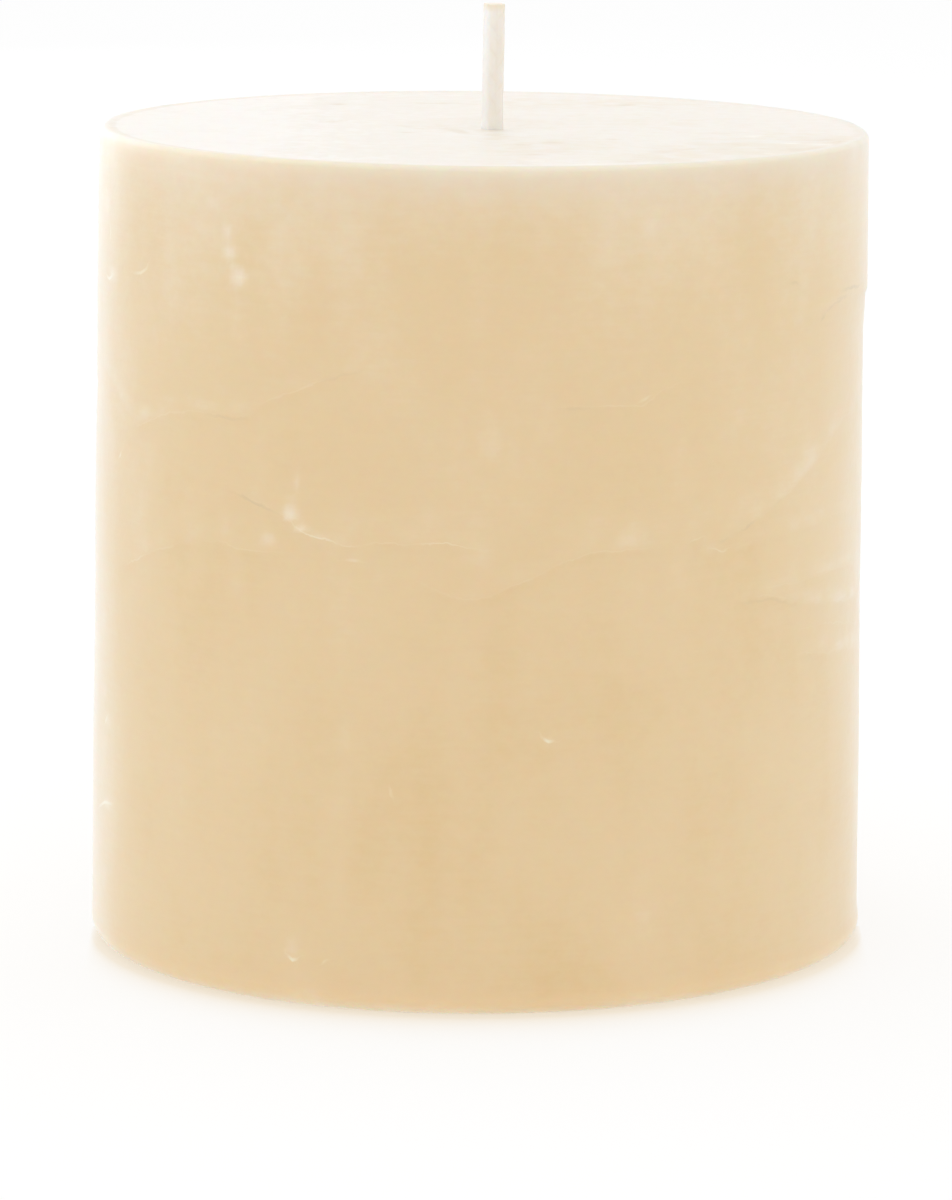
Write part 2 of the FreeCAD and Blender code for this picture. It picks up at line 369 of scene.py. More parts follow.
PALE_PATCHES = (
    (289, 514, 8, 10, 2.4), (299, 529, 8, 4, 2.0), (318, 538, 10, 4, 1.6), (338, 543, 10, 4, 1.0),
    (296, 484, 4, 12, 1.7), (292, 500, 7, 6, 1.5), (712, 549, 8, 4, 1.2), (535, 173, 26, 4, 1.6),
    (113, 274, 5, 6, 1.6), (142, 270, 6, 5, 1.0), (106, 205, 5, 14, 1.0), (101, 520, 4, 16, 1.0),
    (104, 620, 4, 10, 0.9), (103, 690, 4, 8, 1.2), (104, 880, 4, 10, 1.0), (150, 415, 16, 8, 0.8),
    (200, 404, 40, 8, 0.5), (300, 384, 24, 7, 0.5), (268, 538, 9, 7, 1.2), (200, 520, 44, 14, 0.6),
    (140, 500, 26, 60, 0.4), (227, 232, 5, 8, 1.8), (229, 252, 7, 8, 1.8), (239, 278, 9, 10, 2.2),
    (234, 267, 4, 4, 1.4), (213, 203, 8, 4, 1.0), (236, 310, 5, 18, 0.9), (206, 231, 8, 5, 0.5),
    (240, 330, 9, 20, 0.5), (290, 250, 20, 46, 0.5), (175, 300, 24, 60, 0.3), (350, 250, 22, 30, 0.4),
    (235, 585, 9, 26, 0.7), (346, 588, 6, 18, 0.7), (378, 575, 5, 14, 0.4), (490, 436, 11, 30, 0.8),
    (484, 400, 9, 30, 0.4), (482, 560, 17, 18, 0.9), (538, 420, 14, 90, 0.6), (520, 490, 14, 46, 0.5),
    (545, 300, 12, 70, 0.35), (480, 340, 12, 60, 0.3), (618, 530, 56, 15, 0.8), (690, 522, 40, 16, 0.6),
    (400, 524, 60, 12, 0.6), (755, 500, 40, 14, 0.6), (764, 492, 16, 12, 0.35), (790, 471, 15, 14, 0.35),
    (812, 448, 14, 16, 0.35), (832, 422, 12, 18, 0.35), (686, 472, 11, 30, 1.0), (688, 580, 11, 24, 0.8),
    (743, 414, 12, 16, 0.45), (728, 440, 9, 16, 0.5), (650, 230, 8, 10, 0.5), (800, 330, 18, 110, 0.5),
    (830, 220, 26, 40, 0.3), (610, 230, 14, 30, 0.3), (343, 745, 8, 22, 0.9), (338, 800, 11, 30, 0.8),
    (336, 870, 9, 50, 0.4), (255, 900, 16, 14, 0.5), (290, 950, 8, 12, 1.4), (265, 940, 22, 16, 0.5),
    (263, 825, 6, 8, 0.5), (616, 845, 8, 30, 0.6), (645, 910, 12, 36, 0.5), (548, 741, 4, 4, 1.6),
    (575, 736, 24, 5, 0.4), (745, 735, 16, 14, 0.6), (520, 690, 40, 14, 0.35), (640, 660, 60, 18, 0.3),
    (400, 690, 40, 30, 0.3), (820, 800, 22, 110, 0.3), (846, 599, 20, 7, 1.0), (815, 604, 16, 5, 0.5),
    (836, 566, 16, 7, 0.4), (850, 645, 14, 7, 1.1), (826, 640, 20, 6, 0.4), (165, 625, 16, 30, 0.3),
    (110, 445, 6, 30, 0.7), (106, 720, 5, 6, 1.2), (104, 745, 4, 8, 0.8), (106, 803, 8, 4, 1.4),
)

TOP_SCRATCHES_AND_SHADOW = (
    (0.9, ((331, 103), (338, 104), (347, 104))),
    (0.5, ((327, 122), (334, 121), (342, 122))),
    (0.35, ((303, 118), (311, 119), (320, 119))),
    (0.9, ((402, 132), (407, 132), (412, 132))),
    (0.6, ((415, 127), (419, 127), (424, 127))),
    (0.3, ((392, 125), (402, 125), (414, 126))),
    (0.7, ((438, 126), (450, 126), (457, 128), (464, 131), (474, 133))),
    (0.5, ((412, 103), (430, 103), (448, 103), (476, 103))),
    # This line at the wick's foot is a painted shadow, not a scratch.
    (0.9, ((487, 133), (496, 134), (505, 134))),
    (0.6, ((511, 144), (518, 144), (526, 145))),
    (0.6, ((538, 143), (552, 142), (566, 143), (577, 143))),
    (0.6, ((603, 139), (612, 139), (621, 139))),
    (0.9, ((612, 105), (624, 105), (637, 104))),
    (0.4, ((671, 123), (675, 123), (681, 123))),
    (0.6, ((653, 151), (662, 152), (673, 151))),
    (0.5, ((673, 150), (688, 149), (702, 148))),
    (0.5, ((618, 162), (628, 161), (640, 161))),
    (0.4, ((518, 155), (535, 154), (552, 155))),
    (0.4, ((705, 133), (726, 133), (745, 132))),
    (0.6, ((804, 140), (822, 140), (840, 139))),
    (0.5, ((759, 148), (762, 148), (765, 148))),
)

TOP_HIGHLIGHTS = (
    (0.8, ((741, 135), (752, 136), (763, 135))),
    (0.9, ((780, 143), (791, 143), (802, 143))),
    (0.6, ((803, 144), (822, 144), (842, 144))),
    (0.6, ((785, 153), (790, 153), (797, 152))),
    (0.5, ((763, 153), (768, 153), (774, 153))),
    (0.5, ((560, 165), (590, 164), (612, 163))),
    (0.4, ((512, 157), (530, 160), (548, 158))),
)

TOP_CREAM = (
    # The deepest of these, at the wick's foot and along the right of the rim, are painted shade.
    (810, 150, 38, 6, 3.2), (848, 142, 20, 5, 3.0), (760, 152, 50, 6, 1.5), (670, 157, 60, 6, 1.2),
    (742, 147, 60, 8, 1.5), (690, 150, 26, 5, 1.0), (540, 103, 60, 7, 0.8), (524, 151, 24, 12, 1.2),
    (650, 103, 80, 6, 0.8), (440, 103, 50, 5, 0.4), (570, 147, 70, 9, 0.9), (450, 128, 40, 6, 0.5),
    (496, 135, 13, 4, 1.5), (630, 122, 120, 12, 0.5), (790, 138, 70, 9, 0.7), (700, 148, 80, 7, 0.7),
    (330, 103, 20, 4, 0.6), (622, 103, 20, 4, 0.6),
)

wall_scratches = traced(SCRATCHES, on_unrolled)
top_highlights = traced(TOP_HIGHLIGHTS, on_top)
top_scratches_and_shadow = traced(TOP_SCRATCHES_AND_SHADOW, on_top)
print(len(wall_scratches), "scratches on the wall,", len(top_scratches_and_shadow), "on the top")

# %% [markdown]
# Distances to the lines
#
# A thin line would need a very fine mesh if it were modelled point by point. A signed
# distance to the line is smooth instead: half-millimetre steps can hold it, and the shader
# draws an edge a tenth of a millimetre wide where it passes zero. A second value, the
# line's strength, fades out a little way off and at the ends.

# %% Signed distance to the nearest line of a family
AROUND = 2 * math.pi * WALL_MIDDLE_RADIUS


def near_lines(places, lines, reach, wrap=None):
    """Signed distance in mm to the nearest line, positive above it, and its two strengths."""
    best = np.full(len(places), 1e9)
    signed = np.full(len(places), reach * 2.0)
    edge_strength = np.zeros(len(places))
    band_strength = np.zeros(len(places))
    for light, band, line in lines:
        points = np.array(line, float)
        if points[0, 0] > points[-1, 0]:
            points = points[::-1]
        steps = np.hypot(*np.diff(points, axis=0).T)
        walked = np.concatenate([[0], np.cumsum(steps)])
        for first, (begin, finish) in enumerate(zip(points, points[1:])):
            run = finish - begin
            apart = places - begin
            if wrap:
                apart = apart - np.array([1.0, 0.0]) * (np.round(apart[:, :1] / wrap) * wrap)
            share = np.clip((apart @ run) / run.dot(run), 0, 1)
            gap = apart - share[:, None] * run
            distance = np.hypot(gap[:, 0], gap[:, 1])
            side = np.sign(run[0] * gap[:, 1] - run[1] * gap[:, 0])
            at = walked[first] + share * steps[first]
            ends = np.minimum(at, walked[-1] - at) / min(4.0, walked[-1] / 2)
            nearer = distance < best
            best[nearer] = distance[nearer]
            signed[nearer] = (distance * np.where(side == 0, 1, side))[nearer]
            strength = (np.clip(0.15 + ends, 0, 1) * np.clip(2 - distance / reach, 0, 1))[nearer]
            edge_strength[nearer] = light * strength
            band_strength[nearer] = band * strength
    return np.clip(signed, -2 * reach, 2 * reach), edge_strength, band_strength


def wander(places, size, seed):
    """Smooth noise between -1 and 1, with features of the given size in mm."""
    return np.array([noise.noise(Vector((x / size, y / size, seed))) for x, y in places])


# %% [markdown]
# Rings of the block
#
# The block is one closed skin, laid in rings like a vase on a wheel: out under the foot,
# up the wall, over the rim, in across the top and down the wick's channel. Rings near the
# middle need fewer points, so the count halves on the way in, where a row of triangles
# joins a ring to one of half its count.

# %% Rings of the skin, in millimetres
COLUMNS = 440
WALL_ROWS = 158
FOOT_STEPS = 7
RIM_STEPS = 4
INNER_COUNTS = (55, 110, 220)


def bearings_of(count):
    return np.arange(count) * (2 * math.pi / count) - math.pi


def braid_edge(angles):
    """Distance from the wick's middle to its rounded square outline, at angles about it."""
    folded = np.abs((angles + math.pi / 4) % (math.pi / 2) - math.pi / 4)
    flat = WICK_HALF / np.cos(folded)
    middle = WICK_HALF - WICK_CORNER
    reach = middle * (np.cos(folded) + np.sin(folded))
    corner = reach + np.sqrt(np.maximum(reach ** 2 - 2 * middle ** 2 + WICK_CORNER ** 2, 0))
    return np.where(WICK_HALF * np.tan(folded) > middle, corner, flat)


def channel_ring(count, level):
    """The wick's channel at a level, drawn along the block's own axis."""
    bearings = bearings_of(count)
    spread = braid_edge(bearings - math.pi / 2 - WICK_TURN)
    ring = circle(1.0, 0.0, bearings) * spread[:, None]
    return ring + np.array([WICK_RIGHT, -WICK_FRONT, level])


def face_rings(outer_radius, level, spacing):
    """Rings across a flat face, from the channel out to a radius, with their counts."""
    rings = [channel_ring(INNER_COUNTS[0], level)]
    radius = WICK_HALF + 0.35
    while radius < outer_radius - 0.6 * spacing(radius):
        count = next((c for c in INNER_COUNTS if radius < c * 0.11), COLUMNS)
        share = (radius - WICK_HALF) / (outer_radius - WICK_HALF)
        inner = channel_ring(count, level)
        outer = circle(outer_radius, level, bearings_of(count))
        rings.append(inner + (outer - inner) * share)
        radius += spacing(radius)
    return rings


under = face_rings(FOOT_RADIUS - FOOT_ROUND, 0.0, lambda radius: 0.5 + radius / 12)
foot = []
for step in range(FOOT_STEPS):
    turn = math.pi / 2 * step / FOOT_STEPS
    foot.append(circle(FOOT_RADIUS - FOOT_ROUND + FOOT_ROUND * math.sin(turn),
                       FOOT_ROUND - FOOT_ROUND * math.cos(turn), bearings_of(COLUMNS)))
wall = [wall_points(row / WALL_ROWS, bearings_of(COLUMNS)) for row in range(WALL_ROWS + 1)]
rim = []
for step in range(1, RIM_STEPS + 1):
    turn = math.pi / 2 * step / RIM_STEPS
    rim.append(leaned(circle(RIM_RADIUS - RIM_ROUND + RIM_ROUND * math.cos(turn),
                             WALL_HIGH + RIM_ROUND * math.sin(turn), bearings_of(COLUMNS))))
top = face_rings(RIM_RADIUS - RIM_ROUND, RIM_LEVEL, lambda radius: 0.75)
parts_of_skin = {"under": under, "foot": foot, "wall": wall, "rim": rim, "top": top}
print("rings:", {name: len(rings) for name, rings in parts_of_skin.items()})

# %% [markdown]
# Relief
#
# Real wax is never a perfect cylinder. It has broad hollows from uneven shrinkage, each lap
# stands a tenth of a millimetre proud of the wax below it, and at the upper right one pour
# bulges and ends in a small step. All of it is cut into the solid's surface, never added
# outside it, so the candle keeps its size. The same functions give the tone, with painted
# light in it: a painted glow under the rim and at the foot's edge, painted shade towards
# the foot and on the rim's round, and a painted sheen that makes the left side paler. On
# the top, the wax climbs a little way up the wick.

# %% Soft steps, clouds and plain marks
LAP_REACH = 1.4
LINE_MARKS = (*FRONT_LINES, "crease", "scratch")
FACE_MARKS = ("tone", "rim", "rim_pale", "bonded", "top_face")


def plain_marks(count):
    """Marks of a plain skin: no tone, no rim and far from every line."""
    marks = {}
    for name in LINE_MARKS:
        marks[name] = np.full(count, 2 * LAP_REACH)
        marks[name + "_strength"] = np.zeros(count)
    marks.update({name: np.zeros(count) for name in FACE_MARKS})
    return marks


def soft_step(value, low, high):
    """0 below low, 1 above high, and smooth between."""
    share = np.clip((value - low) / (high - low), 0, 1)
    return share * share * (3 - 2 * share)


def clouds_round(bearing, level):
    """Smooth noise round the wall without a seam: a function of its width, height and seed."""
    round_trip = np.stack([np.sin(bearing), np.cos(bearing)], 1) * WALL_MIDDLE_RADIUS

    def clouds(wide, tall, seed):
        return np.array([noise.noise(Vector((x / wide, y / wide, z / tall + seed)))
                         for (x, y), z in zip(round_trip, level)])

    return clouds


# %% Laps, creases and scratches of the wall
LAP_STEP = 0.10
BAND_MM = 2.2
BAND_PALER = 0.24
SHADE_MM = 1.2
SHADE_DEEPER = 0.12
SCRATCH_REACH = 0.5
SCRATCH_CUT = 0.04
SCRATCH_HALF = 0.3


def add_lines(marks, cut, tone, places, patchy, clouds):
    """Add the lines to the cut and the tone, and store how far off and how strong they are."""
    ripple = np.stack([np.zeros(len(places)), 0.22 * clouds(3.0, 3.0, 31.0)], 1)
    for family in FRONT_LINES:
        signed, light, band = near_lines(places + ripple, wall_lines[family], LAP_REACH, AROUND)
        marks[family] = signed
        marks[family + "_strength"] = light * np.clip(0.6 + 1.3 * clouds(4.0, 4.0, 51.0), 0, 1.2)
        cut += LAP_STEP * np.clip(band + light, 0, 1) * (1 - soft_step(signed, -0.35, 0.35))
        above = soft_step(signed, -0.1, 0.3) * (1 - soft_step(signed, 0.5, BAND_MM))
        tone += BAND_PALER * band * patchy * above
        # Just below the line the tone is darker: painted shade under the lap.
        at_line = 1 - soft_step(signed, -0.2, 0.0)
        tone -= SHADE_DEEPER * band * at_line * soft_step(signed, -SHADE_MM, -0.3)
    for name, lines in (("crease", creases), ("scratch", wall_scratches)):
        signed, strength, _ = near_lines(places, lines, SCRATCH_REACH, AROUND)
        marks[name] = signed
        marks[name + "_strength"] = strength
        cut += SCRATCH_CUT * strength * np.exp(-(signed / SCRATCH_HALF) ** 2)


# %% Pale patches of the wall
PIXELS_PER_MM = 10.3
LEAST_NARROWING = 0.35


def patch_strength(bearing, level):
    """How strong the pale patches are at a bearing and level of the wall."""
    patches = np.zeros(len(level))
    for px, py, half_width, half_height, amount in PALE_PATCHES:
        turn, height = on_wall(px, py)
        wide = half_width / PIXELS_PER_MM / max(math.cos(turn), LEAST_NARROWING)
        tall = half_height / PIXELS_PER_MM
        off = ((bearing - turn) * WALL_MIDDLE_RADIUS / wide) ** 2 + ((level - height) / tall) ** 2
        patches = np.maximum(patches, amount * np.exp(-off ** 1.5))
    return patches


# %% The ledge near the upper right edge
BULGE_LEVEL = 63.3
BULGE_STEP = 0.2
BULGE_SLOPE = 0.15
BULGE_BEARING = math.radians(86)
BULGE_SPREAD = (math.radians(14), math.radians(60))


def add_ledge(cut, bearing, level):
    """Add the step under the pour that bulges, and the hollow below it."""
    beside = 1 - soft_step(np.abs(bearing - BULGE_BEARING), *BULGE_SPREAD)
    ledge = level + 0.5 * np.sin(bearing * 9)
    cut += BULGE_STEP * beside * (1 - soft_step(ledge, BULGE_LEVEL - 0.35, BULGE_LEVEL + 0.35))
    cut += BULGE_SLOPE * beside * (1 - soft_step(ledge, BULGE_LEVEL - 4.0, BULGE_LEVEL - 0.3))


# %% Relief and tone of the wall
LEAST_CUT = 0.012
BROAD_HOLLOW = 0.08
PATCH_PALER = 0.23
RIM_PAINTED_GLOW, RIM_GLOW_MM = 0.46, 10.0
EDGE_PAINTED_GLOW, EDGE_MM = 0.18, 1.6
RIM_UNEVEN = 0.16
FOOT_PAINTED_GLOW, FOOT_EDGE_MM = 1.2, 0.7
FOOT_EDGE_SHADE = 0.5
FOOT_PAINTED_SHADE, FOOT_PAINTED_SHADE_MM = 0.10, 25
LEFT_PAINTED_SHEEN = 0.4
LEFT_PAINTED_SHEEN_STARTS = (58, 80)
LEFT_PAINTED_SHEEN_ENDS = (92, 165)
LEFT_END_BEARING = math.radians(-84)


def wall_marks(points):
    """Cut depth in mm, bearing and painted marks, at points of the foot's edge, wall and rim."""
    bearing = np.arctan2(points[:, 0] - points[:, 2] * math.tan(LEAN), -points[:, 1])
    level = points[:, 2]
    clouds = clouds_round(bearing, level)
    hollows = 0.5 + 0.6 * clouds(19.0, 13.0, 0.0) + 0.3 * clouds(7.0, 9.0, 5.0)
    cut = LEAST_CUT + BROAD_HOLLOW * np.clip(hollows, 0, 1.3)
    tone = 0.44 + 0.16 * clouds(10.0, 18.0, 11.0) + 0.10 * clouds(3.4, 11.0, 23.0)
    patchy = np.clip(0.65 + 0.9 * clouds(2.2, 3.0, 41.0), 0, 1.2)
    marks = plain_marks(len(points))
    places = np.stack([bearing * WALL_MIDDLE_RADIUS, level], 1)
    add_lines(marks, cut, tone, places, patchy, clouds)
    patches = patch_strength(bearing, level)
    tone += PATCH_PALER * patches * np.maximum(patchy, np.clip(patches - 0.9, 0, 1))
    below_rim = np.clip(RIM_LEVEL - (level + points[:, 0] * math.tan(LEAN)), 0, None)
    # Paler under the rim: a painted glow of the light that enters through the top.
    tone += RIM_PAINTED_GLOW * np.exp(-below_rim / RIM_GLOW_MM) + EDGE_PAINTED_GLOW * np.exp(-below_rim / EDGE_MM)
    # Paler at the foot's edge: a painted glow of light coming through the foot.
    tone += FOOT_PAINTED_GLOW * np.exp(-level / FOOT_EDGE_MM)
    # Darker towards the foot, more so on the right, away from the lamps: painted shade.
    tone -= FOOT_PAINTED_SHADE * np.exp(-level / FOOT_PAINTED_SHADE_MM) * (1 + 0.5 * np.sin(bearing))
    # The left side is painted paler: a painted sheen for the light that whitens that edge.
    to_left = -np.degrees(bearing) + 5 * clouds(6.0, 14.0, 71.0)
    left_painted_sheen = LEFT_PAINTED_SHEEN * soft_step(to_left, *LEFT_PAINTED_SHEEN_STARTS) * (1 - soft_step(to_left, *LEFT_PAINTED_SHEEN_ENDS))
    marks["tone"] = tone + left_painted_sheen
    left_end = soft_step(np.cos(bearing - LEFT_END_BEARING), 0.82, 0.97)
    left_front = soft_step(-np.sin(bearing), 0.1, 0.7)
    # The rim's round gets painted shade in a grey cream, weaker towards the left where the lamps are.
    rim_shade_share = (1 - 0.4 * left_front) * (1 - 0.8 * left_end)
    marks["rim"] = rim_shade_share * np.exp(-np.clip(below_rim - 0.2, 0, None) / EDGE_MM)
    marks["rim"] += FOOT_EDGE_SHADE * np.exp(-level / FOOT_EDGE_MM)
    # The left end of the rim is painted paler: painted light.
    marks["rim_pale"] = left_end * np.exp(-np.clip(below_rim - 0.1, 0, None) / 0.6)
    cut += RIM_UNEVEN * np.exp(-below_rim / 1.2) * np.clip(0.3 + clouds(2.4, 8.0, 61.0), 0, 1)
    add_ledge(cut, bearing, level)
    return cut, bearing, marks


# %% Relief of the top
TOP_LEAST_CUT = 0.02
TOP_UNEVEN = 0.05
TOP_SCRATCH_CUT = 0.05
TOP_SCRATCH_HALF = 0.4
WICK_COLLAR = 0.14


def top_marks(points):
    """Sunk depth in mm and the painted marks, at points of the top, along the block's axes."""
    places = points[:, :2]
    marks = plain_marks(len(points))
    # On the top this family holds short painted highlights, not lap lines.
    marks["upper_lap"], marks["upper_lap_strength"], _ = near_lines(places, top_highlights, LAP_REACH)
    signed, strength, _ = near_lines(places, top_scratches_and_shadow, 2 * SCRATCH_REACH)
    marks["scratch"] = signed
    marks["scratch_strength"] = strength
    cream = np.zeros(len(points))
    for px, py, half_width, half_height, amount in TOP_CREAM:
        x, y = on_top(px, py)
        edge_x, _ = on_top(px + half_width, py)
        _, edge_y = on_top(px, py + half_height)
        off = ((places[:, 0] - x) / (edge_x - x)) ** 2 + ((places[:, 1] - y) / (edge_y - y)) ** 2
        cream = np.maximum(cream, amount * np.exp(-off))
    cream *= np.clip(0.75 + 0.9 * wander(places, 2.6, 7.0), 0, 1.2)
    # Towards the left the top is painted paler: painted light.
    marks["tone"] = cream + 0.15 * wander(places, 9.0, 3.0) - 0.5 * soft_step(-places[:, 0], 6, 26)
    marks["rim"] += 1
    marks["top_face"] += 1
    out = np.hypot(places[:, 0], places[:, 1])
    dish = DISH_DEPTH * np.clip(1 - (out / DISH_RADIUS) ** 2, 0, 1)
    uneven = TOP_UNEVEN * np.clip(0.5 + 0.5 * wander(places, 8.0, 2.0), 0, 1)
    from_wick = np.hypot(places[:, 0] - WICK_RIGHT, places[:, 1] + WICK_FRONT) - WICK_HALF
    marks["bonded"] = 1 - soft_step(from_wick, 0.6, 2.2)
    collar = WICK_COLLAR * np.exp(-np.clip(from_wick, 0, None) / 0.3)
    scored = TOP_SCRATCH_CUT * strength * np.exp(-(signed / TOP_SCRATCH_HALF) ** 2)
    return dish + TOP_LEAST_CUT + uneven - collar + scored, marks


# %% [markdown]
# One skin from the rings
#
# Rings of the same count are joined by quads, and a ring of half the count by three
# triangles a step. Each mark is stored on the mesh as a named attribute, for the shader.

# %% Skin builder


def skin_faces(counts):
    """Faces that join rings of the given counts, in order."""
    faces = []
    base = 0
    for here, there in zip(counts, counts[1:]):
        near = np.arange(here) + base
        far = np.arange(there) + base + here
        if here == there:
            faces += np.stack([near, np.roll(near, -1), np.roll(far, -1), far], 1).tolist()
        elif there == 2 * here:
            first, middle, last = far[0::2], far[1::2], np.roll(far, -2)[0::2]
            after = np.roll(near, -1)
            faces += np.stack([near, middle, first], 1).tolist()
            faces += np.stack([near, after, middle], 1).tolist()
            faces += np.stack([after, last, middle], 1).tolist()
        else:
            first, middle, last = near[0::2], near[1::2], np.roll(near, -2)[0::2]
            after = np.roll(far, -1)
            faces += np.stack([first, middle, far], 1).tolist()
            faces += np.stack([middle, after, far], 1).tolist()
            faces += np.stack([middle, last, after], 1).tolist()
        base += here
    return faces


def make_mesh(name, points, faces, attributes):
    """A smooth mesh object from points in mm, with one named number for each point."""
    mesh = bpy.data.meshes.new(name)
    mesh.from_pydata((points * MM).tolist(), [], faces)
    for label, values in attributes.items():
        held = mesh.attributes.new(label, "FLOAT", "POINT")
        held.data.foreach_set("value", values.astype(np.float32))
    mesh.polygons.foreach_set("use_smooth", [True] * len(mesh.polygons))
    mesh.set_sharp_from_angle(angle=math.radians(40))
    mesh.update()
    thing = bpy.data.objects.new(name, mesh)
    bpy.context.scene.collection.objects.link(thing)
    return thing


# %% The wax block
side_points = np.concatenate(foot + wall + rim)
cut, bearing, side_marks = wall_marks(side_points)
foot_fade = soft_step(side_points[:, 2], 0.0, 3.0)
outward = np.stack([np.sin(bearing), -np.cos(bearing), np.zeros_like(bearing)], 1)
side_points = side_points - outward * (LEAST_CUT + (cut - LEAST_CUT) * foot_fade)[:, None]

top_points = np.concatenate(top[::-1])
sunk, face_marks = top_marks(top_points)
outer_ring = np.hypot(top_points[:, 0], top_points[:, 1]) > RIM_RADIUS - RIM_ROUND - 0.5
top_points = top_points - np.stack([0 * sunk, 0 * sunk, np.where(outer_ring, TOP_LEAST_CUT, sunk)], 1)
top_points = leaned(top_points)

UNDER_TONE = 0.5
under_points = np.concatenate(under)
channel_levels = np.linspace(RIM_LEVEL - DISH_DEPTH, 0.0, 14)[1:-1]
channel = [leaned(channel_ring(INNER_COUNTS[0], level)) for level in channel_levels]
hidden_points = np.concatenate([under_points, *channel])
blank = plain_marks(len(hidden_points))
under_clouds = [0.15 * noise.noise(Vector(point) / 9.0) for point in hidden_points]
blank["tone"] += UNDER_TONE + np.array(under_clouds)
foot_edge = soft_step(np.hypot(under_points[:, 0], under_points[:, 1]), 33.0, 35.5)
# Underneath, the foot's edge is painted paler too: painted glow.
blank["tone"][:len(under_points)] += FOOT_PAINTED_GLOW * foot_edge
# The foot's edge underneath also gets painted shade.
blank["rim"][:len(under_points)] = FOOT_EDGE_SHADE * foot_edge
wax_points = np.concatenate([under_points, side_points, top_points, *channel])
wax_marks = {
    name: np.concatenate([blank[name][:len(under_points)], side_marks[name], face_marks[name],
                          blank[name][len(under_points):]])
    for name in side_marks
}
counts = [len(ring) for ring in under + foot + wall + rim + top[::-1] + channel]
wax_faces = skin_faces(counts)
last_ring = np.arange(counts[-1]) + len(wax_points) - counts[-1]
first_ring = np.arange(counts[0])
closing = [last_ring, np.roll(last_ring, -1), np.roll(first_ring, -1), first_ring]
wax_faces += np.stack(closing, 1).tolist()
wax = make_mesh("cast_wax_block", wax_points, wax_faces, wax_marks)
triangles = sum(len(face) - 2 for face in wax_faces)
print("wax block:", len(wax_points), "points,", triangles, "triangles")
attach(wax, "root")
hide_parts("wax_body")

# %% [markdown]
# The braided wick
#
# The wick is a square braid of cotton, soaked in wax so that it stands up by itself. On
# each face the strands show as two columns of slanting stitches, half a stitch out of
# step. The wax has nearly filled the grooves between them, so they are very shallow. The
# left face, turned towards the lamps, is painted nearly white as painted light. The wick
# follows the block's channel, bends a little where it comes free and is cut off square.

# %% Wick mesh
WICK_POINTS = 72
WICK_ROW = 0.1
STITCH = 2.3
STITCH_DEPTH = 0.04
WICK_UNEVEN = 0.05
CAP_SCALES = (0.93, 0.6, 0.25)
WICK_LIT_SIDE = math.radians(205)
RELIEF_STARTS = (RIM_LEVEL - 0.3, RIM_LEVEL + 1.2)

bend_rise = WICK_BEND_RADIUS * math.sin(WICK_BEND)
bend_run = WICK_BEND_RADIUS * (1 - math.cos(WICK_BEND))
tip_level = RIM_LEVEL + WICK_EXPOSED
ring_angles = np.arange(WICK_POINTS) * (2 * math.pi / WICK_POINTS)


def wick_place(level):
    """Middle of the wick and its slope at a level, along the block's own axis."""
    above = level - RIM_LEVEL
    if above <= 0:
        return WICK_RIGHT, 0.0
    if above < bend_rise:
        slope = math.asin(above / WICK_BEND_RADIUS)
        return WICK_RIGHT + WICK_BEND_RADIUS * (1 - math.cos(slope)), slope
    return WICK_RIGHT + bend_run + (above - bend_rise) * math.tan(WICK_BEND), WICK_BEND


def stitch_groove(angle, level):
    """How deep the braid's grooves are at an angle round the wick and a level, from 0 to 1."""
    across = math.tan((angle + math.pi / 4) % (math.pi / 2) - math.pi / 4)
    column = 0.5 if across > 0 else 0.0
    slant = abs(math.sin(math.pi * (level / STITCH + column - 0.45 * abs(across))))
    between = math.exp(-(across / 0.12) ** 2)
    return max((1 - slant) ** 3, 0.6 * between)


def wick_ring(level, scale=1.0, relief=1.0):
    """One ring of the wick, with the braid's relief cut into it."""
    middle, slope = wick_place(level)
    out = braid_edge(ring_angles)
    for number, angle in enumerate(ring_angles):
        uneven = 0.5 + 0.5 * noise.noise(Vector((math.cos(angle), math.sin(angle), level / 2.6)))
        braid = STITCH_DEPTH * stitch_groove(angle, level) + WICK_UNEVEN * uneven
        out[number] -= LEAST_CUT + relief * braid
    turned = ring_angles + WICK_TURN
    x, y = scale * out * np.cos(turned), scale * out * np.sin(turned)
    return np.stack([middle + x * math.cos(slope), y - WICK_FRONT, level - x * math.sin(slope)], 1)


hidden_levels = np.linspace(WICK_RECESS, RIM_LEVEL - 1.0, 12)
shown_levels = np.arange(RIM_LEVEL - 0.9, tip_level - 0.12, WICK_ROW)
wick_rings = [wick_ring(WICK_RECESS, scale, 0.0) for scale in CAP_SCALES[::-1]]
wick_rings += [wick_ring(level, 1.0, 0.0) for level in hidden_levels]
for level in shown_levels:
    wick_rings.append(wick_ring(level, 1.0, float(soft_step(level, *RELIEF_STARTS))))
wick_rings += [wick_ring(tip_level - 0.03, 0.985)]
wick_rings += [wick_ring(tip_level - 0.015, scale) for scale in CAP_SCALES]
wick_points = np.concatenate(wick_rings)
wick_faces = skin_faces([WICK_POINTS] * len(wick_rings))
wick_faces.append(list(range(WICK_POINTS))[::-1])
wick_faces.append([len(wick_points) - WICK_POINTS + number for number in range(WICK_POINTS)])
wick_angles = np.tile(ring_angles, len(wick_rings))
wick_marks = {
    "groove_shade": np.array([stitch_groove(a, z) for a, z in zip(wick_angles, wick_points[:, 2])]),
    # The face turned to the lamps is painted whiter: painted light.
    "lit_face": soft_step(np.cos(wick_angles + WICK_TURN - WICK_LIT_SIDE), 0.6, 0.9),
    "tip": soft_step(wick_points[:, 2], tip_level - 0.9, tip_level - 0.1),
}
wick = make_mesh("braided_cotton_wick", leaned(wick_points), wick_faces, wick_marks)
print("wick:", len(wick_points), "points, up to", round(float(wick_points[:, 2].max()), 2), "mm")
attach(wick, "root")
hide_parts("wick")

